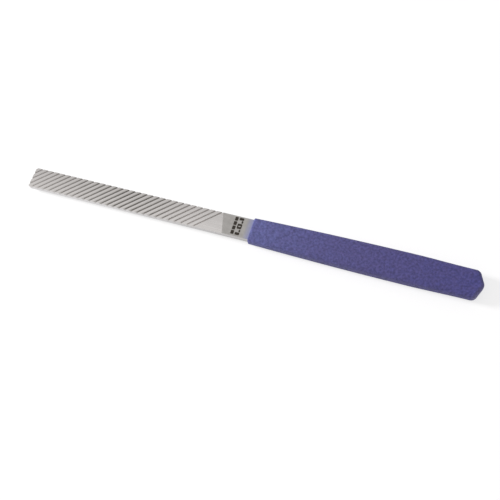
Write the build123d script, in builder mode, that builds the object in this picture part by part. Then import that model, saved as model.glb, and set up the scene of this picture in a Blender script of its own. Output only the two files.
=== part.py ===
"""Flat wood rasp: one milled steel blank with a soft vinyl grip formed over its tang.

All sizes are millimetres. The tool lies along X with its tip at -X and the butt of the grip at +X,
its toothed face is up, and it stands on Z = 0. The origin is the middle of its length and width.
"""

import os
from math import ceil, cos, pi, radians, sin, tan

from build123d import *

# --- Driving dimensions -------------------------------------------------------------------------
# Steel blank: one bar, from the square tip to the V-shaped end of the tang.
blade_length = 131.0  # tip to the mouth of the grip
bar_width = 12.0
bar_thickness = 3.2
bar_edge_radius = 0.25  # all edges of the bar, broken before it is milled
tip_corner_radius = 0.6  # corners of the square tip, seen from above

# Ground flat: the toothed side is ground below the bar's skin, as far as a skewed line.
grind_depth = 0.08
flat_end = 115.1  # tip to the end of the grinding, on the centre line
flat_skew = 14.0  # degrees between that line and a square one

# Milled teeth: straight skewed gullets, each with its rake face towards the tip.
toothed_length = 107.3  # tip to the last cutting edge, on the centre line
tooth_pitch = 2.47  # square across the teeth
tooth_skew = 42.8  # degrees between the teeth and the blade
tooth_depth = 0.85
tooth_land = 0.5  # flat left behind each cutting edge
relief_angle = 8.0  # degrees that a tooth's back falls behind its land
rake_angle = 4.0  # degrees that the rake face leans back under its edge
gullet_radius = 0.38
gullet_back_angle = 52.0  # degrees that the gullet's back wall rises

# Grip: a coat over the tang, thin at the mouth and thickest at the belly.
grip_length = 119.0  # mouth to the point of the butt
belly_from_mouth = 82.0
coat_at_mouth = 1.05
coat_at_belly = 2.1
coat_at_butt = 1.65
coat_at_end = 2.0  # over the V-shaped end of the tang, square to it
butt_slope = 24.0  # degrees between each face of the butt and a square end
butt_corner_radius = 3.0
butt_point_radius = 4.0
edge_roundness = 0.62  # radius of the grip's long edges, as a share of half its thickness
mouth_edge_radius = 0.7
barrel_steps = 7  # sections that carry the swell on each side of the belly

over = 1.0  # how far a cutter reaches past the material that it cuts
hair = 0.01  # two places nearer than this are the same place

# --- Places worked out from them ----------------------------------------------------------------
overall_length = blade_length + grip_length
tip_x = -overall_length / 2
mouth_x = tip_x + blade_length
belly_x = mouth_x + belly_from_mouth
butt_x = overall_length / 2

mid_z = bar_thickness / 2 + coat_at_belly  # the belly of the grip rests on Z = 0
skin_z = mid_z + bar_thickness / 2  # top of the bar
ground_z = skin_z - grind_depth  # cutting edges and ground flat

# Both V-shaped ends are parallel: the tang's is set back inside the butt's.
butt_rise = tan(radians(butt_slope))
butt_apex_x = butt_x + butt_point_radius * (1 / cos(radians(butt_slope)) - 1)
tang_apex_x = butt_apex_x - coat_at_end / cos(radians(butt_slope))
tang_shoulder_x = tang_apex_x - bar_width / 2 * butt_rise

butt_half_width = bar_width / 2 + coat_at_butt
butt_shoulder_x = butt_apex_x - butt_half_width * butt_rise
butt_start_x = butt_shoulder_x - butt_corner_radius  # the barrel ends before the corners begin


# --- Blade --------------------------------------------------------------------------------------
# The blank, tip to tang, before milling.
with BuildPart() as blank:
    with BuildSketch(Plane.XY.offset(skin_z - bar_thickness)) as bar_outline:
        with BuildLine():
            Polyline(
                (tip_x, bar_width / 2),
                (tang_shoulder_x, bar_width / 2),
                (tang_apex_x, 0),
                (tang_shoulder_x, -bar_width / 2),
                (tip_x, -bar_width / 2),
                close=True,
            )
        make_face()
        fillet(bar_outline.vertices().group_by(Axis.X)[0], radius=tip_corner_radius)
    extrude(amount=bar_thickness)
    layers = blank.faces().group_by(Axis.Z)
    fillet(layers[0].edges() + layers[-1].edges(), radius=bar_edge_radius)

# The blank is worked in two halves that meet at the mouth: the tang stays as rolled.
with BuildPart() as tang:
    add(blank.part)
    split(bisect_by=Plane.YZ.offset(mouth_x), keep=Keep.TOP)


def gullet_planes():
    """One plane across each gullet, at its cutting edge on the centre line.

    In each plane X runs square across the teeth towards the grip, and Y is up.
    """
    pitch_along = tooth_pitch / sin(radians(tooth_skew))
    reach = bar_width / 2 / tan(radians(tooth_skew))  # from a gullet's middle to its end
    count = ceil((toothed_length + reach) / pitch_along)
    across = Vector(1, 0, 0).rotate(Axis.Z, tooth_skew - 90)
    along = Vector(1, 0, 0).rotate(Axis.Z, tooth_skew)
    return [
        Plane(
            origin=(tip_x + toothed_length - number * pitch_along, 0, ground_z),
            x_dir=across,
            z_dir=-along,
        )
        for number in range(count)
    ]


with BuildPart() as worked:
    add(blank.part)
    split(bisect_by=Plane.YZ.offset(mouth_x), keep=Keep.BOTTOM)

    # Grind the toothed side as far as the skewed line.
    with BuildSketch(Plane.XY.offset(ground_z)):
        flat_end_x = tip_x + flat_end
        lean = (bar_width / 2 + over) * tan(radians(flat_skew))
        with BuildLine():
            Polyline(
                (tip_x - over, bar_width / 2 + over),
                (flat_end_x - lean, bar_width / 2 + over),
                (flat_end_x + lean, -bar_width / 2 - over),
                (tip_x - over, -bar_width / 2 - over),
                close=True,
            )
        make_face()
    extrude(amount=grind_depth + over, mode=Mode.SUBTRACT)

    # Mill the gullets: each runs from its cutting edge back to the land of the tooth before it.
    with BuildSketch(*gullet_planes()):
        with BuildLine():
            land_end = (tooth_land - tooth_pitch, 0)
            relief = PolarLine(land_end, tooth_pitch, angle=-relief_angle, mode=Mode.PRIVATE)
            floor_drop = gullet_radius * (1 + sin(radians(rake_angle)))
            wall = (tooth_depth - floor_drop) / cos(radians(rake_angle))
            rake = PolarLine((0, 0), wall, angle=rake_angle - 90)
            floor = JernArc(rake @ 1, rake % 1, gullet_radius, -90 - rake_angle - gullet_back_angle)
            back = IntersectingLine(floor @ 1, floor % 1, relief)
            Polyline(back @ 1, land_end, (land_end[0], over), (0, over), (0, 0))
        make_face()
    extrude(amount=bar_width / sin(radians(tooth_skew)), both=True, mode=Mode.SUBTRACT)

# The halves are sewn into one solid, so its faces have an edge where the grip begins.
with BuildPart() as blade:
    halves = worked.faces() + tang.faces()
    skin = halves.filter_by(lambda face: abs(face.center().X - mouth_x) > hair)
    add(Solid(Shell(skin)), clean=False)
blade.part.label = "blade"


# --- Grip ---------------------------------------------------------------------------------------
def coat_at(x):
    """Thickness of the coat at x: it swells to the belly and levels off before the butt."""
    if x < belly_x:
        ahead = (belly_x - x) / belly_from_mouth
        return coat_at_belly - (coat_at_belly - coat_at_mouth) * ahead**2
    behind = (x - belly_x) / (butt_start_x - belly_x)
    return coat_at_butt + (coat_at_belly - coat_at_butt) * (1 + cos(pi * behind)) / 2


def edge_radius(coat):
    """Radius of the grip's long edges where the coat is this thick."""
    return edge_roundness * (bar_thickness / 2 + coat)


# Barrel: one rounded section after another, from the mouth to where the butt begins.
with BuildPart() as barrel:
    shares = [step / barrel_steps for step in range(barrel_steps + 1)]
    ahead = [mouth_x + belly_from_mouth * share for share in shares]
    behind = [belly_x + (butt_start_x - belly_x) * share for share in shares[1:]]
    for x in ahead + behind:
        coat = coat_at(x)
        with BuildSketch(Plane.YZ.offset(x) * Location((0, mid_z))):
            RectangleRounded(bar_width + 2 * coat, bar_thickness + 2 * coat, edge_radius(coat))
    loft(ruled=True)
    fillet(barrel.faces().sort_by(Axis.X)[0].edges(), radius=mouth_edge_radius)

# Butt: a blunt V seen from above, with the barrel's last section carried round it.
with BuildPart() as butt:
    with BuildSketch(Plane.XY.offset(mid_z - bar_thickness / 2 - coat_at_butt)) as butt_outline:
        with BuildLine():
            Polyline(
                (butt_start_x, butt_half_width),
                (butt_shoulder_x, butt_half_width),
                (butt_apex_x, 0),
                (butt_shoulder_x, -butt_half_width),
                (butt_start_x, -butt_half_width),
                close=True,
            )
        make_face()
        corners = butt_outline.vertices()
        shoulders = corners.filter_by(lambda corner: abs(corner.X - butt_shoulder_x) < hair)
        fillet(shoulders, radius=butt_corner_radius)
        fillet(butt_outline.vertices().group_by(Axis.X)[-1], radius=butt_point_radius)
    extrude(amount=bar_thickness + 2 * coat_at_butt)
    layers = butt.faces().group_by(Axis.Z)
    rims = layers[0].edges() + layers[-1].edges()
    outer_rims = rims.filter_by(lambda rim: rim.center().X > butt_start_x + hair)
    fillet(outer_rims, radius=edge_radius(coat_at_butt))

# The coat is formed round the blank, so the blank's own shape is its inside.
with BuildPart() as grip:
    add(barrel.part)
    add(butt.part)
    add(blank.part, mode=Mode.SUBTRACT)
grip.part.label = "grip"

# --- Files --------------------------------------------------------------------------------------
os.makedirs("parts", exist_ok=True)
export_step(blade.part, "parts/blade.step")
export_step(grip.part, "parts/grip.step")
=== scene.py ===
"""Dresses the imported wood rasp: steel finishes, a dipped vinyl grip, etched marks and a studio.

Lengths are in metres, and one written in millimetres is multiplied by MM. Places come from the frame.
"""

import math
from typing import NamedTuple

import bmesh
import bpy
from bpy.props import FloatProperty, FloatVectorProperty, PointerProperty
from bpy.types import NodeSocket
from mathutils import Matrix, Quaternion, Vector, noise


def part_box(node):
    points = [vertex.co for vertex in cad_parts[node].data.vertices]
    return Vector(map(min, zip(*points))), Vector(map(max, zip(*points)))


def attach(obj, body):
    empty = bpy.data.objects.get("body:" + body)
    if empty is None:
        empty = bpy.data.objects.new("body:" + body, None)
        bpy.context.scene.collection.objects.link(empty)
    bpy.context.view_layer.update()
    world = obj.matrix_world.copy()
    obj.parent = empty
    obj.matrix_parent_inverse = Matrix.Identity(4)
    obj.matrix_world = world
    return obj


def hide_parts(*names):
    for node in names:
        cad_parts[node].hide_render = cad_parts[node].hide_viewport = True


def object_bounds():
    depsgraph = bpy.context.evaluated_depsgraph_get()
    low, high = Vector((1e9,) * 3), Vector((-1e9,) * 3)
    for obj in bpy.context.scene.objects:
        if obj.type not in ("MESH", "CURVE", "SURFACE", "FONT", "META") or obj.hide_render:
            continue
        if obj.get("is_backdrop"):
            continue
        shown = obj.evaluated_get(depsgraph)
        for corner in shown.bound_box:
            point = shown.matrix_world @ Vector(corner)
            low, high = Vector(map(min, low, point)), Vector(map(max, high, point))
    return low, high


bl_info = {
    "name": "Wood rasp dresser",
    "version": (1, 0, 0),
    "blender": (4, 5, 0),
    "location": "3D View > Sidebar > Rasp",
    "description": "Dresses a packed wood rasp with its finishes, its grip, its marks and a studio",
    "category": "Object",
}

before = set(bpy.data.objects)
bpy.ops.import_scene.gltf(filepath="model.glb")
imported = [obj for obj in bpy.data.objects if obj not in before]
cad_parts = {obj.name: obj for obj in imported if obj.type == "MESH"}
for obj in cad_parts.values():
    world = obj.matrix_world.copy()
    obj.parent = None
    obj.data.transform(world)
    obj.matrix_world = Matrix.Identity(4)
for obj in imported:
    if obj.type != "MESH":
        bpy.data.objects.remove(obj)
CAD_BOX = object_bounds()
BLADE_LOW, BLADE_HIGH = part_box("blade")
GRIP_LOW, GRIP_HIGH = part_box("grip")
MM = 0.001
MID_Z = (GRIP_LOW.z + GRIP_HIGH.z) / 2
MOUTH_X = GRIP_LOW.x
BAR_HALF_WIDTH = (BLADE_HIGH.y - BLADE_LOW.y) / 2
BAR_HALF_THICKNESS = (BLADE_HIGH.z - BLADE_LOW.z) / 2
# Two levels less than a hair apart count as one, and vertices less than a weld apart are joined.
HAIR = 0.01 * MM
WELD = 0.001 * MM


# --- Settings -----------------------------------------------------------------------------------
def linear(hex_colour):
    """A linear colour with its alpha, from an sRGB hex one such as 0x8A8580."""
    channels = []
    for shift in (16, 8, 0):
        value = (hex_colour >> shift & 255) / 255
        channels.append(value / 12.92 if value <= 0.04045 else ((value + 0.055) / 1.055) ** 2.4)
    return (*channels, 1.0)


BLACK = linear(0x000000)
WHITE = linear(0xFFFFFF)


def colour_property(name, description, hex_colour):
    """A colour setting whose default is an sRGB hex colour."""
    kept = linear(hex_colour)
    return FloatVectorProperty(
        name=name, description=description, default=kept, subtype="COLOR", size=4, min=0, max=1
    )


def length_property(name, description, millimetres):
    """A length setting, given in millimetres and kept in metres."""
    kept = millimetres * MM
    return FloatProperty(name=name, description=description, default=kept, subtype="DISTANCE", precision=5)


def angle_property(name, description, degrees):
    """An angle setting, given in degrees and kept in radians."""
    kept = math.radians(degrees)
    return FloatProperty(name=name, description=description, default=kept, subtype="ANGLE")


def plain_property(name, description, value):
    """A setting that is a bare number, zero or more."""
    return FloatProperty(name=name, description=description, default=value, min=0)


class RaspBladeSettings(bpy.types.PropertyGroup):
    """The finishes of the steel."""

    grind_depth: length_property("Grind depth", "How far the ground face lies under the skin", 0.08)
    tooth_skew: angle_property("Tooth skew", "Angle between the gullets and a square cut", 42.8)
    # The oil settings set painted shade in the gullets, partly an oil film.
    oil_and_shade_rise: length_property("Oil rise", "Tip to where the gullets' oil is darkest", 55)
    oil_and_shade_fall: length_property("Oil fall", "Tip to where the gullets' oil starts to fade again", 65)
    oil_and_shade_end: length_property("Oil end", "Tip to where the gullets are nearly clean", 98)
    oil_and_shade_depth: length_property("Oil depth", "Ground face to where the oil's film is full", 0.221)
    oil_and_shade_at_tip: plain_property("Oil at the tip", "Share of the film that is left at the tip", 0.2)
    oil_and_shade_at_end: plain_property("Oil at the end", "Share of the film that is left at the shank", 0.05)
    # Painted shade, standing in for a darker reflection: the edge at +Y is darkened in the steel's tone.
    back_edge_shade: plain_property("Oil drain", "Share of light that the edge at +Y loses to the oil", 0.17)
    # The next two settings darken the sides towards the mouth.
    edge_darkening: plain_property("Edge dulling", "Share of light that the sides lose at the mouth", 0.28)
    darkened_length: length_property("Dulled length", "How far from the mouth the sides are dulled", 80)
    # The skin is tinted violet by the mouth over this length.
    tint_length: length_property("Tint length", "Length of the violet film before the mouth", 3.4)
    ground_low: colour_property("Ground, darker", "Darker tone of the ground faces", 0xC4C0BE)
    ground_high: colour_property("Ground, paler", "Paler tone of the ground faces", 0xD6D2D0)
    milled_low: colour_property("Milled, deep", "Tone at the bottom of the gullets", 0xA09D99)
    milled_high: colour_property("Milled, high", "Tone at the top of the gullets", 0xD0CCCA)
    skin_low: colour_property("Skin, darker", "Darker tone of the bar's skin", 0x9D9A97)
    skin_high: colour_property("Skin, paler", "Paler tone of the bar's skin", 0xABA8A5)
    skin_tinted: colour_property("Skin, tinted", "Tone of the skin next to the mouth", 0x8F92B6)
    edge_low: colour_property("Edge, darker", "Darker tone of the bar's sides", 0xC5C3C3)
    edge_high: colour_property("Edge, paler", "Paler tone of the bar's sides", 0xD4D2D2)


class RaspGripSettings(bpy.types.PropertyGroup):
    """The form and the finish of the dipped grip."""

    coat_at_mouth: length_property("Coat at the mouth", "Thickness of the coat at the mouth", 1.05)
    coat_at_butt: length_property("Coat at the butt", "Thickness of the coat before the butt", 1.65)
    coat_at_end: length_property("Coat at the end", "Thickness of the coat over the tang's end", 2.0)
    belly_from_mouth: length_property("Belly from the mouth", "Mouth to the thickest place", 82)
    edge_roundness: plain_property("Edge roundness", "Edge radius over half the thickness", 0.62)
    mouth_edge_radius: length_property("Mouth edge radius", "Rounding of the rim at the mouth", 0.7)
    butt_slope: angle_property("Butt slope", "Angle between each face of the butt and a square end", 24)
    butt_corner_radius: length_property("Butt corner radius", "Rounding of the butt's corners", 3)
    butt_point_radius: length_property("Butt point radius", "Rounding of the butt's point", 4)
    socket_edge_radius: length_property("Socket edge radius", "Rounding of the socket's edges", 0.25)
    mesh_step: length_property("Mesh step", "Length of the mesh's quads along the grip", 0.5)
    waviness: length_property("Waviness", "How far the dipped surface sinks at its lowest", 0.06)
    swell_length: length_property("Swell length", "Size of the coat's long swells along the grip", 9)
    swell_width: length_property("Swell width", "Size of the coat's long swells round the grip", 4)
    ripple_size: length_property("Ripple size", "Size of the coat's short ripples", 1)
    pebble_size: length_property("Pebble size", "Width of one pebble, 0.4 mm on the real one", 0.9)
    pebble_depth: length_property("Pebble depth", "Depth of the dips between the pebbles", 0.09)
    mottle_size: length_property("Mottle size", "Width of the paler and darker flecks", 1.2)
    # The next two settings set both the coat's thickness and painted light and shade along the grip.
    thin_and_lit_length: length_property("Thin length", "Length over which the thin coat shows bluer", 75)
    deep_and_shaded_start: length_property("Deep start", "Mouth to where the vinyl's tone starts to deepen", 60)
    cloud_size: length_property("Cloud size", "Width of the vinyl's warmer clouds", 2.5)
    cloud_share: plain_property("Cloud share", "Share of warm tone in the middle of a cloud", 0.25)
    fleck_depth: plain_property("Fleck depth", "Share of light that the darkest flecks lose", 0.45)
    # The next two settings make the butt's end faces paler, most of all towards -Y.
    paling_reach: length_property("Scuff reach", "How far the scuffs reach from the butt's faces", 2)
    paling_share: plain_property("Scuff share", "Share of scuffed tone on the butt's face at -Y", 0.9)
    vinyl: colour_property("Vinyl", "Tone of the vinyl", 0x575389)
    # The next two tones hold painted light by the mouth and painted shade at the butt, as well as the
    # coat's own tone.
    vinyl_thin_and_lit: colour_property("Vinyl, thin", "Tone of the vinyl where the coat is thin", 0x6669A0)
    vinyl_deep_and_shaded: colour_property("Vinyl, deep", "Tone of the vinyl at the butt", 0x4E4C89)
    vinyl_warm: colour_property("Vinyl, warm", "Tone of the vinyl's warmer clouds", 0x5C5282)
    # The tone of the paler butt faces.
    vinyl_paler_butt: colour_property("Vinyl, scuffed", "Tone of the scuffs on the butt", 0x7A759F)


class RaspMarkSettings(bpy.types.PropertyGroup):
    """The etched marks on the shank."""

    first_row: length_property("First row", "Distance of the first row from the mouth", 9.2)
    row_pitch: length_property("Row pitch", "Distance between the rows", 2.75)
    set_off: length_property("Set off", "How far the rows' middle lies towards +Y", 0.2)
    block_pitch: length_property("Block pitch", "Distance between the blocks", 2.63)
    block_length: length_property("Block length", "Size of a block along the blade", 1.75)
    block_width: length_property("Block width", "Size of a block across the blade", 2.25)
    bar_length: length_property("Bar length", "Size of a bar or ring along the blade", 2.5)
    bar_width: length_property("Bar width", "Size of a bar across the blade", 1.5)
    bar_place: length_property("Bar place", "How far a bar lies from the ring's middle", 4.3)
    ring_width: length_property("Ring width", "Size of the ring across the blade", 3)
    opening_length: length_property("Opening length", "Size of the ring's opening, along the blade", 1.2)
    opening_width: length_property("Opening width", "Size of the ring's opening, across the blade", 0.6)
    opening_radius: length_property("Opening radius", "Rounding of the opening's corners", 0.1333)
    dot_length: length_property("Dot length", "Size of a dot along the blade", 0.9)
    dot_width: length_property("Dot width", "Size of a dot across the blade", 1.5)
    dot_place: length_property("Dot place", "How far a dot lies from the ring's middle", 2.6)
    corner_radius: length_property("Corner radius", "Rounding of the marks' corners", 0.4)
    film: length_property("Film", "How far the oxide stands on the steel", 0.008)
    etch_low: colour_property("Etch, darker", "Darker tone of the oxide", 0x28241F)
    etch_high: colour_property("Etch, paler", "Paler tone of the oxide", 0x3C3630)


class RaspStageSettings(bpy.types.PropertyGroup):
    """The studio: paper, light and camera."""

    paper_size: length_property("Paper size", "Side of the paper under the tool", 6000)
    paper_lift: plain_property("Paper lift", "Share of plain white in the paper near the tool", 0.66)
    paper_white: plain_property("Paper white", "Strength of the plain white, a little over 1", 1.06)
    paper_low: colour_property("Paper, darker", "Darker tone of the paper", 0xF6F4F5)
    paper_high: colour_property("Paper, paler", "Paler tone of the paper", 0xFBF9FA)
    shadow_reach: length_property("Shadow reach", "How far from its middle the paper takes shadows", 180)
    world_level: plain_property("World level", "Share of the light that comes from all round", 0.56)
    key_level: plain_property("Key level", "Share of the light that comes from the key lamp", 0.42)
    key_azimuth: angle_property("Key azimuth", "Where the lamp hangs; 0 is at -Y, 90 at +X", -89)
    key_elevation: angle_property("Key elevation", "Height of the key lamp, as an angle", 26)
    key_distance: length_property("Key distance", "Distance from the key lamp to the tool", 1400)
    key_size: length_property("Key size", "Side of the square key lamp", 350)
    camera_azimuth: angle_property("Camera azimuth", "Where it stands; 0 is at -Y, 90 at +X", 31.8)
    camera_elevation: angle_property("Camera elevation", "Height of the camera, as an angle", 65.2)
    camera_roll: angle_property("Camera roll", "Turn about the line of sight", -15.3)
    camera_distance: length_property("Camera distance", "Distance from the camera to its aim", 337)
    aim_x: length_property("Aim along", "Where the camera aims, along the tool", 8.69)
    aim_y: length_property("Aim across", "Where the camera aims, across the tool", -10.61)
    camera_lens: FloatProperty(
        name="Lens", description="Focal length of the camera", default=46.8, subtype="DISTANCE_CAMERA"
    )


# --- Nodes --------------------------------------------------------------------------------------
# A mix node has a set of sockets for each kind of data. Its colours go in and come out here.
MIX_FACTOR, MIX_FIRST, MIX_SECOND = 0, 6, 7
MIX_RESULT = 2


class Span(NamedTuple):
    """A share that goes evenly from at_low to at_high while its value goes from low to high."""

    # The limits suit a noise, which seldom leaves them.
    value: NodeSocket
    low: float = 0.3
    high: float = 0.7
    at_low: float = 0.0
    at_high: float = 1.0


def add(tree, kind, sockets=None, **settings):
    """Adds one node with its settings. Each socket gets a value, or the output that feeds it."""
    node = tree.nodes.new(kind)
    for name, value in settings.items():
        setattr(node, name, value)
    for name, value in (sockets or {}).items():
        if isinstance(value, NodeSocket):
            tree.links.new(value, node.inputs[name])
        else:
            node.inputs[name].default_value = value
    return node


def empty_tree(owner):
    """The node tree of a new material or world, with nothing in it."""
    owner.use_nodes = True
    owner.node_tree.nodes.clear()
    return owner.node_tree


def new_material(name, constants):
    """A material, its tree, its shader, and its places on the tool in metres, whole and by axis."""
    material = bpy.data.materials.new(name)
    tree = empty_tree(material)
    shader = add(tree, "ShaderNodeBsdfPrincipled", constants)
    add(tree, "ShaderNodeOutputMaterial", {"Surface": shader.outputs["BSDF"]})
    where = add(tree, "ShaderNodeTexCoord").outputs["Object"]
    at = add(tree, "ShaderNodeSeparateXYZ", {"Vector": where}).outputs
    return material, tree, shader, where, at


def noise_at(tree, where, size, stretch=(1, 1, 1), turn=0.0, detail=2.0):
    """Noise from 0 to 1 with blotches of about that size, drawn out along the turned axes."""
    axes = {"Vector": where, "Rotation": (0, 0, turn), "Scale": [size * share for share in stretch]}
    laid = add(tree, "ShaderNodeMapping", axes, vector_type="TEXTURE").outputs["Vector"]
    blotches = {"Vector": laid, "Scale": 1.0, "Detail": detail}
    return add(tree, "ShaderNodeTexNoise", blotches).outputs["Fac"]


def factor(tree, *spans):
    """The product of the spans' shares."""
    whole = 1.0
    for span in spans:
        given = {"Value": span.value, "From Min": span.low, "From Max": span.high}
        wanted = {"To Min": span.at_low, "To Max": span.at_high}
        part = add(tree, "ShaderNodeMapRange", {**given, **wanted}).outputs["Result"]
        whole = add(tree, "ShaderNodeMath", {0: whole, 1: part}, operation="MULTIPLY").outputs["Value"]
    return whole


def tinted(tree, tone, tint, *spans):
    """The tone, with as large a share of the tint in it as the product of the spans."""
    parts = {MIX_FACTOR: factor(tree, *spans), MIX_FIRST: tone, MIX_SECOND: tint}
    return add(tree, "ShaderNodeMix", parts, data_type="RGBA").outputs[MIX_RESULT]


def texture(tree, shader, grain, smooth, rough, depth):
    """Makes the surface rough where the grain is high and smooth where it is low, with that depth."""
    roughness = factor(tree, Span(grain, at_low=smooth, at_high=rough))
    relief = add(tree, "ShaderNodeBump", {"Height": grain, "Distance": depth}).outputs["Normal"]
    tree.links.new(roughness, shader.inputs["Roughness"])
    tree.links.new(relief, shader.inputs["Normal"])
    return relief


def looked_at(tree):
    """1 where the eye, or a mirror or glass in front of it, looks straight at the surface."""
    rays = add(tree, "ShaderNodeLightPath").outputs
    seen = rays["Is Camera Ray"]
    for ray in ("Is Glossy Ray", "Is Transmission Ray"):
        seen = add(tree, "ShaderNodeMath", {0: seen, 1: rays[ray]}, operation="MAXIMUM").outputs["Value"]
    return seen


# --- Materials ----------------------------------------------------------------------------------
METAL = {"Metallic": 1}


def shaded_towards_back(tree, at, tone, settings):
    """The tone, darker towards the +Y edge: painted shade that stands in for a darker reflection in the
    steel there.
    """
    back_shade = Span(at["Y"], -BAR_HALF_WIDTH, BAR_HALF_WIDTH, at_high=settings.back_edge_shade)
    return tinted(tree, tone, BLACK, back_shade)


def ground_steel(settings):
    """Hardened carbon steel, surface-ground lengthwise."""
    # The wheel leaves a pale satin face with straight fine lines and a few soft clouds.
    material, tree, shader, where, at = new_material("ground_carbon_steel", METAL)
    # Its scratches lie about 0.05 mm apart. They are drawn 0.35 mm apart, to show at all.
    scratches = noise_at(tree, where, size=0.35 * MM, stretch=(60, 1, 1), detail=3)
    clouds = noise_at(tree, where, size=7 * MM)
    tone = tinted(tree, settings.ground_low, settings.ground_high, Span(scratches))
    tone = tinted(tree, tone, settings.ground_low, Span(clouds, low=0.4, at_high=0.5))
    # Painted shade: the ground face is darker towards the +Y edge.
    tree.links.new(shaded_towards_back(tree, at, tone, settings), shader.inputs["Base Color"])
    texture(tree, shader, scratches, smooth=0.2, rough=0.3, depth=0.003 * MM)
    return material


def milled_steel(settings):
    """Carbon steel as the cutter left it, a little stained, with painted shade in its gullets."""
    # The cutter leaves ripples along each gullet. The bottoms are darker: painted shade, partly an oil
    # film. The painted shade is deepest half-way along the blade and fades towards both ends.
    material, tree, shader, where, at = new_material("milled_carbon_steel", METAL)
    # The ripples lie 0.1 mm apart. They are drawn 0.25 mm apart, to show at all.
    ripples = noise_at(tree, where, size=0.25 * MM, stretch=(1, 30, 1), turn=-settings.tooth_skew)
    stains = noise_at(tree, where, size=6 * MM, detail=4)
    tip_x, ground_z = BLADE_LOW.x, BLADE_HIGH.z - settings.grind_depth
    fall_x, end_x = tip_x + settings.oil_and_shade_fall, tip_x + settings.oil_and_shade_end
    # These spans set painted shade in the gullets, partly an oil film: by depth, by the stains and along
    # the blade.
    film = [
        Span(at["Z"], ground_z, ground_z - settings.oil_and_shade_depth),
        Span(stains, at_low=0.75, at_high=1.1),
        Span(at["X"], tip_x, tip_x + settings.oil_and_shade_rise, at_low=settings.oil_and_shade_at_tip),
        Span(at["X"], fall_x, end_x, at_low=1, at_high=settings.oil_and_shade_at_end),
    ]
    tone = tinted(tree, settings.milled_high, settings.milled_low, *film)
    # Painted shade: the gullets are darker towards the +Y edge too.
    tree.links.new(shaded_towards_back(tree, at, tone, settings), shader.inputs["Base Color"])
    texture(tree, shader, ripples, smooth=0.25, rough=0.36, depth=0.008 * MM)
    return material


def tumbled_steel(settings):
    """The bar's own skin, tumbled after rolling."""
    # Grit leaves it an even matt grey. It is tinted violet by the mouth.
    material, tree, shader, where, at = new_material("tumbled_bar_steel", METAL)
    # The grit's pits are about 0.1 mm wide. They are drawn 0.4 mm wide, to show at all.
    pits = noise_at(tree, where, size=0.4 * MM, detail=3)
    clouds = noise_at(tree, where, size=2.5 * MM)
    tone = tinted(tree, settings.skin_low, settings.skin_high, Span(clouds))
    tone = tinted(tree, tone, settings.skin_high, Span(pits, low=0.45, high=0.75, at_high=0.5))
    film = Span(at["X"], MOUTH_X - settings.tint_length, MOUTH_X)
    tree.links.new(tinted(tree, tone, settings.skin_tinted, film), shader.inputs["Base Color"])
    texture(tree, shader, pits, smooth=0.34, rough=0.44, depth=0.01 * MM)
    return material


def edge_steel(settings):
    """The sides, back and tip of the bar, linished on a belt."""
    # The belt leaves them as pale as the ground face, softly streaked along the edge. They are darker
    # towards the grip.
    material, tree, shader, where, at = new_material("linished_edge_steel", METAL)
    # The belt's streaks lie 0.1 mm apart. They are drawn 0.3 mm apart, to show at all.
    streaks = noise_at(tree, where, size=0.3 * MM, stretch=(40, 1, 1), detail=3)
    tone = tinted(tree, settings.edge_low, settings.edge_high, Span(streaks))
    darkened = Span(at["X"], MOUTH_X - settings.darkened_length, MOUTH_X, at_high=settings.edge_darkening)
    tree.links.new(tinted(tree, tone, BLACK, darkened), shader.inputs["Base Color"])
    texture(tree, shader, streaks, smooth=0.22, rough=0.34, depth=0.004 * MM)
    return material


def paler_butt_faces(tree, at, settings):
    """Where the vinyl is paler: near the butt's end faces, and most of all towards -Y."""
    off_middle = add(tree, "ShaderNodeMath", {0: at["Y"]}, operation="ABSOLUTE").outputs["Value"]
    lines = {0: off_middle, 1: math.tan(settings.butt_slope), 2: at["X"]}
    reach = add(tree, "ShaderNodeMath", lines, operation="MULTIPLY_ADD").outputs["Value"]
    near = Span(reach, GRIP_HIGH.x - settings.paling_reach, GRIP_HIGH.x)
    side = Span(at["Y"], -BAR_HALF_WIDTH, BAR_HALF_WIDTH, at_low=settings.paling_share, at_high=0)
    return near, side


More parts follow.
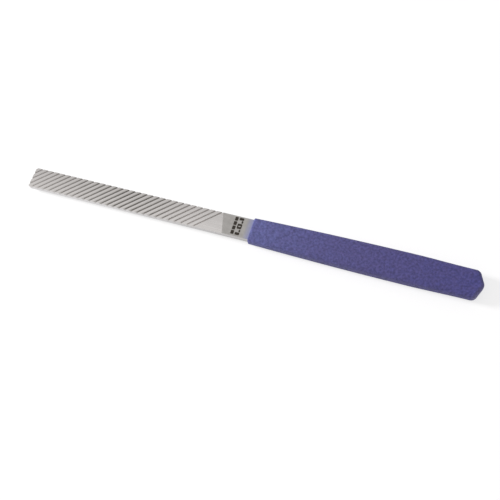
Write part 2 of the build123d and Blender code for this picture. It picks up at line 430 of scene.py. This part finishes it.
def dipped_vinyl(settings):
    """Violet-blue PVC plastisol, dipped on the hot tang and cured."""
    # It is soft, matt and finely pebbled, and mottled in its tone. It is paler and bluer by the mouth,
    # where it is thin, and deepest at the butt, which was dipped first; both are partly painted light and
    # shade, brighter by the mouth and darker by the butt. The butt's end faces are paler.
    optics = {"IOR": 1.53, "Specular IOR Level": 0.3}
    material, tree, shader, where, at = new_material("dipped_pvc_plastisol", optics)
    # Its pebbles are about 0.4 mm wide. They are drawn twice as wide and more, to show at all.
    cells = {"Vector": where, "Scale": 1 / settings.pebble_size, "Smoothness": 0.5}
    pebbles = add(tree, "ShaderNodeTexVoronoi", cells, feature="SMOOTH_F1").outputs["Distance"]
    grain = noise_at(tree, where, settings.pebble_size, detail=3)
    flecks = noise_at(tree, where, settings.mottle_size)
    clouds = noise_at(tree, where, settings.cloud_size)
    # Painted light and shade: besides the coat's thickness, the tone is paler by the mouth and deeper by
    # the butt as the light falls off along the grip.
    thin = Span(at["X"], MOUTH_X, MOUTH_X + settings.thin_and_lit_length, at_low=1, at_high=0)
    deep = Span(at["X"], MOUTH_X + settings.deep_and_shaded_start, GRIP_HIGH.x)
    warm = Span(clouds, low=0.4, high=0.6, at_high=settings.cloud_share)
    # The thin coat and its painted light count twice over, so that its tone fades out slowly.
    tone = tinted(tree, settings.vinyl, settings.vinyl_thin_and_lit, thin, thin)
    tone = tinted(tree, tone, settings.vinyl_deep_and_shaded, deep)
    tone = tinted(tree, tone, settings.vinyl_warm, warm)
    tone = tinted(tree, tone, settings.vinyl_paler_butt, *paler_butt_faces(tree, at, settings))
    tone = tinted(tree, tone, BLACK, Span(flecks, at_low=settings.fleck_depth, at_high=0))
    tree.links.new(tone, shader.inputs["Base Color"])
    below = texture(tree, shader, grain, smooth=0.55, rough=0.7, depth=settings.pebble_depth)
    layers = {"Height": pebbles, "Distance": settings.pebble_depth, "Normal": below}
    relief = add(tree, "ShaderNodeBump", layers).outputs["Normal"]
    tree.links.new(relief, shader.inputs["Normal"])
    return material


def etched_black(settings):
    """Black oxide, electro-etched on the steel."""
    # The current leaves it dull, near black and a little uneven.
    optics = {"Specular IOR Level": 0.25}
    material, tree, shader, where, _ = new_material("etched_black_oxide", optics)
    # Its specks are under 0.1 mm wide. They are drawn 0.4 mm wide, to show at all.
    specks = noise_at(tree, where, size=0.4 * MM, detail=3)
    tone = tinted(tree, settings.etch_low, settings.etch_high, Span(specks, low=0.4))
    tree.links.new(tone, shader.inputs["Base Color"])
    roughness = factor(tree, Span(specks, at_low=0.6, at_high=0.75))
    tree.links.new(roughness, shader.inputs["Roughness"])
    return material


def studio_paper(settings):
    """Seamless white paper, uncoated."""
    # It shows white to the eye and to the steel, and near the tool it still takes its soft shadow.
    material = bpy.data.materials.new("seamless_white_paper")
    tree = empty_tree(material)
    where = add(tree, "ShaderNodeTexCoord").outputs["Object"]
    clouds = noise_at(tree, where, size=4 * MM)
    tone = tinted(tree, settings.paper_low, settings.paper_high, Span(clouds, low=0, high=1))
    matt = add(tree, "ShaderNodeBsdfDiffuse", {"Color": tone}).outputs["BSDF"]
    # The plain white is a little over 1, which makes up for the light that the matt paper takes.
    white = add(tree, "ShaderNodeEmission", {"Strength": settings.paper_white}).outputs["Emission"]
    away = add(tree, "ShaderNodeVectorMath", {0: where}, operation="LENGTH").outputs["Value"]
    reach = settings.shadow_reach
    lift = factor(tree, Span(away, reach, 2 * reach, at_low=settings.paper_lift))
    lifted = add(tree, "ShaderNodeMixShader", {0: lift, 1: matt, 2: white}).outputs["Shader"]
    paper = add(tree, "ShaderNodeMixShader", {0: looked_at(tree), 1: matt, 2: lifted})
    add(tree, "ShaderNodeOutputMaterial", {"Surface": paper.outputs["Shader"]})
    return material


# --- Blade --------------------------------------------------------------------------------------
# A face whose normal has this much of an axis looks straight along it.
SQUARE = 0.999


class RASP_OT_finish_blade(bpy.types.Operator):
    """Gives each face of the blade the finish of the step that made it"""

    bl_idname = "rasp.finish_blade"
    bl_label = "Finish the blade"

    def execute(self, context):
        settings = context.scene.rasp_blade
        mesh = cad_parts["blade"].data
        finishes = [ground_steel, milled_steel, tumbled_steel, edge_steel]
        mesh.materials.clear()
        for finish in finishes:
            mesh.materials.append(finish(settings))
        ground_z = BLADE_HIGH.z - settings.grind_depth
        for face in mesh.polygons:
            z, up = face.center.z, face.normal.z
            within = abs(face.center.y) < BAR_HALF_WIDTH - HAIR and face.center.x > BLADE_LOW.x + HAIR
            if up > SQUARE and abs(z - ground_z) < HAIR:
                made_by = ground_steel
            elif up > SQUARE and z > ground_z + HAIR:
                made_by = tumbled_steel
            elif within and MID_Z < z < ground_z and abs(face.normal.y) < SQUARE:
                made_by = milled_steel
            else:
                made_by = edge_steel
            face.material_index = finishes.index(made_by)
        return {"FINISHED"}


# --- Grip ---------------------------------------------------------------------------------------
SIDEWAYS = Vector((0, 1))


def coat_thickness(settings, x):
    """Thickness of the coat at x."""
    belly_x = MOUTH_X + settings.belly_from_mouth
    belly = (GRIP_HIGH.z - GRIP_LOW.z) / 2 - BAR_HALF_THICKNESS
    if x < belly_x:
        ahead = (belly_x - x) / (belly_x - MOUTH_X)
        return belly - (belly - settings.coat_at_mouth) * ahead**2
    start_x = butt_plan(settings)["start_x"]
    behind = min(1, (x - belly_x) / (start_x - belly_x))
    return settings.coat_at_butt + (belly - settings.coat_at_butt) * (1 + math.cos(math.pi * behind)) / 2


def butt_plan(settings):
    """The places that fix the blunt V of the butt, seen from above."""
    apex_x = GRIP_HIGH.x + settings.butt_point_radius * (1 / math.cos(settings.butt_slope) - 1)
    half_width = BAR_HALF_WIDTH + settings.coat_at_butt
    shoulder_x = apex_x - half_width * math.tan(settings.butt_slope)
    start_x = shoulder_x - settings.butt_corner_radius
    return {"apex_x": apex_x, "half_width": half_width, "start_x": start_x}


def end_outline(apex_x, half_width, slope, corner_radius, point_radius, arc_steps=8, line_steps=12):
    """Half of a blunt V end from its side to its point: places and outward normals, seen from above."""
    turn = math.pi / 2 - slope
    points = []
    # The corner is an arc from the side, whose normal is +Y, to the sloping face.
    shoulder_x = apex_x - half_width * math.tan(slope)
    centre = Vector((shoulder_x - corner_radius * math.tan(turn / 2), half_width - corner_radius))
    for step in range(arc_steps + 1):
        angle = turn * step / arc_steps
        normal = Vector((math.sin(angle), math.cos(angle)))
        points.append((centre + normal * corner_radius, normal))
    # The point is an arc from the sloping face to the middle, whose normal is +X.
    corner_end, face_normal = points[-1]
    centre = Vector((apex_x - point_radius / math.cos(slope), 0))
    point_start = centre + face_normal * point_radius
    for step in range(1, line_steps + 1):
        points.append((corner_end.lerp(point_start, step / line_steps), face_normal))
    for step in range(1, arc_steps + 1):
        angle = turn + slope * step / arc_steps
        normal = Vector((math.sin(angle), math.cos(angle)))
        points.append((centre + normal * point_radius, normal))
    return points


def ring(place, normal, half_thickness, radius, round_steps=8, side_steps=2, fill_steps=22):
    """A closed outline round the grip: up the rounded side at place, over the top and back below."""
    side = []
    flat = half_thickness - radius
    for step in range(round_steps + 1):
        angle = math.pi / 2 * (step / round_steps - 1)
        side.append((radius * (1 - math.cos(angle)), -flat + radius * math.sin(angle)))
    for step in range(1, side_steps):
        side.append((0.0, -flat + 2 * flat * step / side_steps))
    side += [(inset, -height) for inset, height in reversed(side[: round_steps + 1])]
    left = []
    for inset, height in side:
        at = place - normal * inset
        left.append(Vector((at.x, at.y, MID_Z + height)))
    right = [Vector((at.x, -at.y, at.z)) for at in reversed(left)]
    top = [left[-1].lerp(right[0], step / fill_steps) for step in range(1, fill_steps)]
    bottom = [right[-1].lerp(left[0], step / fill_steps) for step in range(1, fill_steps)]
    return left + top + right + bottom


def bridge(shape, loops):
    """Joins each loop of vertices to the next with quads."""
    for first, second in zip(loops, loops[1:]):
        count = len(first)
        for index in range(count):
            after = (index + 1) % count
            shape.faces.new((first[index], first[after], second[after], second[index]))


class RASP_OT_build_grip(bpy.types.Operator):
    """Builds the dipped grip over the tang, open at the mouth and closed at its blunt V butt"""

    bl_idname = "rasp.build_grip"
    bl_label = "Build the grip"

    def execute(self, context):
        settings = context.scene.rasp_grip
        shape = bmesh.new()
        outlines = self.socket(settings)[::-1] + self.skin(settings)
        bridge(shape, [[shape.verts.new(place) for place in outline] for outline in outlines])
        bmesh.ops.remove_doubles(shape, verts=shape.verts[:], dist=WELD)
        bmesh.ops.recalc_face_normals(shape, faces=shape.faces[:])
        self.sink(shape, settings)
        mesh = bpy.data.meshes.new("grip_coat")
        shape.to_mesh(mesh)
        shape.free()
        mesh.shade_smooth()
        mesh.materials.append(dipped_vinyl(settings))
        grip = bpy.data.objects.new("grip_coat", mesh)
        context.scene.collection.objects.link(grip)
        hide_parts("grip")
        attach(grip, "root")
        return {"FINISHED"}

    def skin(self, settings):
        """Outlines of the outer skin: the rolled rim of the mouth, the long body and the butt."""
        plan = butt_plan(settings)
        rim = settings.mouth_edge_radius
        rim_x = MOUTH_X + rim
        rim_steps = 5
        outlines = []
        for step in range(rim_steps):
            angle = math.pi / 2 * step / rim_steps
            inset = rim * (1 - math.sin(angle))
            outlines.append(self.outer(settings, rim_x, inset, -rim * math.cos(angle)))
        steps = round((plan["start_x"] - rim_x) / settings.mesh_step)
        for step in range(steps):
            outlines.append(self.outer(settings, rim_x + (plan["start_x"] - rim_x) * step / steps))
        half = BAR_HALF_THICKNESS + settings.coat_at_butt
        for place, normal in end_outline(
            plan["apex_x"],
            plan["half_width"],
            settings.butt_slope,
            settings.butt_corner_radius,
            settings.butt_point_radius,
        ):
            outlines.append(ring(place, normal, half, settings.edge_roundness * half))
        return outlines

    def outer(self, settings, x, inset=0.0, shift=0.0):
        """The skin's outline at x, drawn in by the inset and moved along by the shift."""
        coat = coat_thickness(settings, x)
        half = BAR_HALF_THICKNESS + coat
        place = Vector((x + shift, BAR_HALF_WIDTH + coat - inset))
        return ring(place, SIDEWAYS, half - inset, settings.edge_roundness * half - inset)

    def socket(self, settings):
        """Outlines of the socket that the tang fills, from the mouth to its V-shaped end."""
        edge = settings.socket_edge_radius
        end_x = butt_plan(settings)["apex_x"] - settings.coat_at_end / math.cos(settings.butt_slope)
        plan = [(Vector((MOUTH_X, BAR_HALF_WIDTH)), SIDEWAYS)]
        plan += end_outline(end_x, BAR_HALF_WIDTH, settings.butt_slope, 2 * edge, 2 * edge)
        return [ring(place, normal, BAR_HALF_THICKNESS, edge) for place, normal in plan]

    def sink(self, shape, settings):
        """Lets the outer skin wander a little inwards, as a dipped coat does."""
        for vertex in shape.verts:
            x, y, z = vertex.co
            away = max(abs(y) - BAR_HALF_WIDTH, abs(z - MID_Z) - BAR_HALF_THICKNESS, 0)
            if x > GRIP_HIGH.x - settings.coat_at_end:
                away = settings.coat_at_end
            # It holds still at the socket and at the mouth, and lets go over the first millimetre.
            held = min(1, away / MM) * min(1, (x - MOUTH_X) / MM)
            length, width = settings.swell_length, settings.swell_width
            swell = noise.noise((x / length, y / width, z / width))
            ripple = noise.noise(vertex.co / settings.ripple_size)
            # Both noises lie between -1 and 1, so the share lies between 0 and 1.
            share = 0.5 + 0.3 * swell + 0.2 * ripple
            vertex.co -= vertex.normal * settings.waviness * share * held


# --- Marks --------------------------------------------------------------------------------------
BLOCKS = 4


def rounded_rectangle(x, y, length, width, radius, steps=5):
    """Places round a rectangle with round corners, seen from above."""
    places = []
    for side_x, side_y in ((1, 1), (-1, 1), (-1, -1), (1, -1)):
        centre_x = x + side_x * (length / 2 - radius)
        centre_y = y + side_y * (width / 2 - radius)
        start = math.atan2(side_y, side_x) - math.pi / 4
        for step in range(steps + 1):
            angle = start + math.pi / 2 * step / steps
            places.append((centre_x + radius * math.cos(angle), centre_y + radius * math.sin(angle)))
    return places


class RASP_OT_etch_marks(bpy.types.Operator):
    """Etches a row of blocks, and a row of bars and dots with a ring, across the shank"""

    bl_idname = "rasp.etch_marks"
    bl_label = "Etch the marks"

    def execute(self, context):
        settings = context.scene.rasp_marks
        shape = bmesh.new()
        x = MOUTH_X - settings.first_row
        middle = settings.set_off
        for block in range(BLOCKS):
            y = middle + (block - (BLOCKS - 1) / 2) * settings.block_pitch
            self.film(shape, settings, x, y, settings.block_length, settings.block_width)
        x += settings.row_pitch
        dot_x = x + (settings.bar_length - settings.dot_length) / 2
        opening = settings.opening_length, settings.opening_width
        self.film(shape, settings, x, middle, settings.bar_length, settings.ring_width, opening)
        for side in (-1, 1):
            y = middle + side * settings.bar_place
            self.film(shape, settings, x, y, settings.bar_length, settings.bar_width)
            y = middle + side * settings.dot_place
            self.film(shape, settings, dot_x, y, settings.dot_length, settings.dot_width)
        mesh = bpy.data.meshes.new("etched_marks")
        shape.to_mesh(mesh)
        shape.free()
        mesh.materials.append(etched_black(settings))
        marks = bpy.data.objects.new("etched_marks", mesh)
        context.scene.collection.objects.link(marks)
        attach(marks, "root")
        return {"FINISHED"}

    def film(self, shape, settings, x, y, length, width, opening=None):
        """One thin patch of oxide, with or without an opening of a length and a width in its middle."""
        low, high = BLADE_HIGH.z - settings.film, BLADE_HIGH.z + settings.film
        outer = rounded_rectangle(x, y, length, width, settings.corner_radius)
        # The sections go up the outside, and down the inside where there is one.
        sections = [(outer, low), (outer, high)]
        if opening is not None:
            inner = rounded_rectangle(x, y, *opening, settings.opening_radius)
            sections += [(inner, high), (inner, low), (outer, low)]
        loops = [[shape.verts.new((*place, z)) for place in outline] for outline, z in sections]
        bridge(shape, loops)
        if opening is None:
            shape.faces.new(loops[0][::-1])
            shape.faces.new(loops[-1])
        bmesh.ops.remove_doubles(shape, verts=shape.verts[:], dist=WELD)


# --- Stage --------------------------------------------------------------------------------------
def towards(azimuth, elevation):
    """The direction in which a stand at that azimuth and elevation lies, seen from the tool."""
    level = math.cos(elevation)
    return Vector((math.sin(azimuth) * level, -math.cos(azimuth) * level, math.sin(elevation)))


class RASP_OT_set_stage(bpy.types.Operator):
    """Lays the white paper, hangs the lamp and sets the camera"""

    bl_idname = "rasp.set_stage"
    bl_label = "Set the stage"

    def execute(self, context):
        settings = context.scene.rasp_stage
        context.scene.view_settings.view_transform = "Standard"
        self.lay_paper(context.scene, settings)
        self.light_world(context.scene, settings)
        self.hang_key(context.scene, settings)
        self.set_camera(context.scene, settings)
        return {"FINISHED"}

    def lay_paper(self, scene, settings):
        """A large flat sheet under the tool."""
        half = settings.paper_size / 2
        corners = [(-half, -half, 0), (half, -half, 0), (half, half, 0), (-half, half, 0)]
        mesh = bpy.data.meshes.new("paper")
        mesh.from_pydata(corners, [], [(0, 1, 2, 3)])
        mesh.materials.append(studio_paper(settings))
        paper = bpy.data.objects.new("paper", mesh)
        scene.collection.objects.link(paper)
        paper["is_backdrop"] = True

    def light_world(self, scene, settings):
        """White to the eye and to the steel, and a plain level for everything else."""
        scene.world = bpy.data.worlds.new("studio")
        tree = empty_tree(scene.world)
        strength = factor(tree, Span(looked_at(tree), low=0, high=1, at_low=settings.world_level))
        glow = add(tree, "ShaderNodeBackground", {"Color": WHITE, "Strength": strength})
        add(tree, "ShaderNodeOutputWorld", {"Surface": glow.outputs["Background"]})

    def hang_key(self, scene, settings):
        """One soft square lamp that gives its share of the light on a level surface."""
        # It doesn't show in the steel, which would clip to white where it faced the lamp.
        lamp = bpy.data.lights.new("key", "AREA")
        lamp.size = settings.key_size
        # White paper that faces a lamp gets a level of its power / (pi * (2 * distance) ** 2).
        square_on = settings.key_level / math.sin(settings.key_elevation)
        lamp.energy = square_on * math.pi * (2 * settings.key_distance) ** 2
        holder = bpy.data.objects.new("key", lamp)
        direction = towards(settings.key_azimuth, settings.key_elevation)
        holder.visible_glossy = False
        holder.location = direction * settings.key_distance
        holder.rotation_mode = "QUATERNION"
        holder.rotation_quaternion = (-direction).to_track_quat("-Z", "Y")
        scene.collection.objects.link(holder)

    def set_camera(self, scene, settings):
        """The camera, aimed at a point beside the tool and rolled a little."""
        back = towards(settings.camera_azimuth, settings.camera_elevation)
        camera = bpy.data.cameras.new("camera")
        camera.lens = settings.camera_lens
        camera.clip_start = 10 * MM
        holder = bpy.data.objects.new("camera", camera)
        aim = Vector((settings.aim_x, settings.aim_y, MID_Z))
        holder.location = aim + back * settings.camera_distance
        holder.rotation_mode = "QUATERNION"
        level = (-back).to_track_quat("-Z", "Y")
        holder.rotation_quaternion = level @ Quaternion((0, 0, 1), settings.camera_roll)
        scene.collection.objects.link(holder)
        scene.camera = holder


# --- Panel and registration ---------------------------------------------------------------------
STEPS = [
    (RASP_OT_finish_blade, "rasp_blade", RaspBladeSettings),
    (RASP_OT_build_grip, "rasp_grip", RaspGripSettings),
    (RASP_OT_etch_marks, "rasp_marks", RaspMarkSettings),
    (RASP_OT_set_stage, "rasp_stage", RaspStageSettings),
]


class RASP_PT_panel(bpy.types.Panel):
    """Lists the steps with their settings"""

    bl_label = "Wood rasp"
    bl_space_type = "VIEW_3D"
    bl_region_type = "UI"
    bl_category = "Rasp"

    def draw(self, context):
        for operator, name, group in STEPS:
            box = self.layout.box()
            box.operator(operator.bl_idname)
            for key in group.__annotations__:
                box.prop(getattr(context.scene, name), key)


def register():
    """Makes the settings, the operators and the panel known to Blender."""
    for operator, name, group in STEPS:
        bpy.utils.register_class(group)
        bpy.utils.register_class(operator)
        setattr(bpy.types.Scene, name, PointerProperty(type=group))
    bpy.utils.register_class(RASP_PT_panel)


def unregister():
    """Takes back what register does."""
    bpy.utils.unregister_class(RASP_PT_panel)
    for operator, name, group in reversed(STEPS):
        delattr(bpy.types.Scene, name)
        bpy.utils.unregister_class(operator)
        bpy.utils.unregister_class(group)


def main():
    """Dresses the tool step by step."""
    register()
    bpy.ops.rasp.finish_blade()
    bpy.ops.rasp.build_grip()
    bpy.ops.rasp.etch_marks()
    bpy.ops.rasp.set_stage()
    bpy.context.view_layer.update()
    boxes = {"cad": CAD_BOX, "visual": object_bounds()}
    boxes = {name: [list(corner) for corner in box] for name, box in boxes.items()}


if __name__ == "__main__":
    main()
